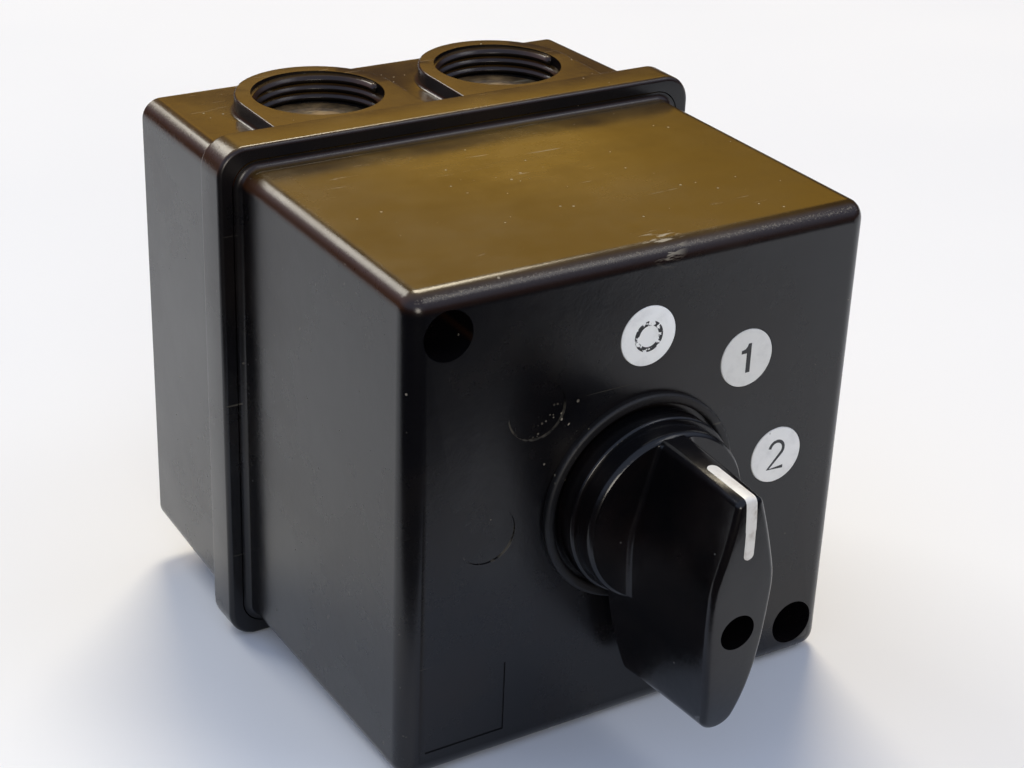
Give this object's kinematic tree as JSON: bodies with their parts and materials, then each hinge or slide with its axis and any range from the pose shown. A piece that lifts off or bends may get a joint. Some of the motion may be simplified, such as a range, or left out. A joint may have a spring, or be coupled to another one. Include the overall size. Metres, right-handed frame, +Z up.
{
  "type": "rotary switch",
  "caption": "Surface-mounted rotary switch: deep square moulded case, numbered round dial, long pointer grip and closed cable entries on top.",
  "frame": {"origin": "centre of the wall fixing holes' pattern, in the flat rear face", "axes": "+X to the right and +Z up on the front view; the rear face is the plane Y = 0 and the front faces -Y"},
  "size_m": [0.0896, 0.1198, 0.09],
  "materials": {
    "case": "dark moulded thermoset, glossy, aged",
    "knob": "dark moulded thermoset, polished by use",
    "label": "white pressed disc with a printed number",
    "marking": "white filled pointer line",
    "seal": "black rubber cord and ring",
    "brass": "plain brass",
    "steel": "zinc plated steel",
    "insulation": "brown moulded insulating material"
  },
  "bodies": {
    "case": {"base": "case", "gasket": "seal", "cover": "case", "cover_screws": "steel", "cover_inserts": "brass", "shaft_bush": "brass", "shaft_washer": "seal", "label_0": "label", "label_1": "label", "label_2": "label", "rear_plate": "steel", "mounting_screws": "steel", "detent_housing": "insulation", "detent_springs": "steel", "front_plate": "steel", "tie_bolts": "steel", "tie_nuts": "steel", "terminal_screws": "steel", "earth_terminal": "brass", "earth_screw": "steel", "deck_1": "insulation", "contact_1_common": "brass", "contact_1_one": "brass", "contact_1_two": "brass", "deck_2": "insulation", "contact_2_common": "brass", "contact_2_one": "brass", "contact_2_two": "brass", "deck_3": "insulation", "contact_3_common": "brass", "contact_3_one": "brass", "contact_3_two": "brass"},
    "rotor": {"knob": "knob", "knob_pointer": "marking", "knob_screw": "steel", "driver": "brass", "shaft": "steel", "shaft_clip": "steel", "star_wheel": "insulation", "rotor_1": "insulation", "blade_1": "brass", "rotor_2": "insulation", "blade_2": "brass", "rotor_3": "insulation", "blade_3": "brass"}
  },
  "joints": [
    {"name": "knob_turn", "type": "hinge", "parent": "case", "child": "rotor", "pos_m": [0, -0.0918, 0], "axis": [0, 1, 0], "range_deg": [0, 90], "deforming": ["detent_springs"]}
  ]
}
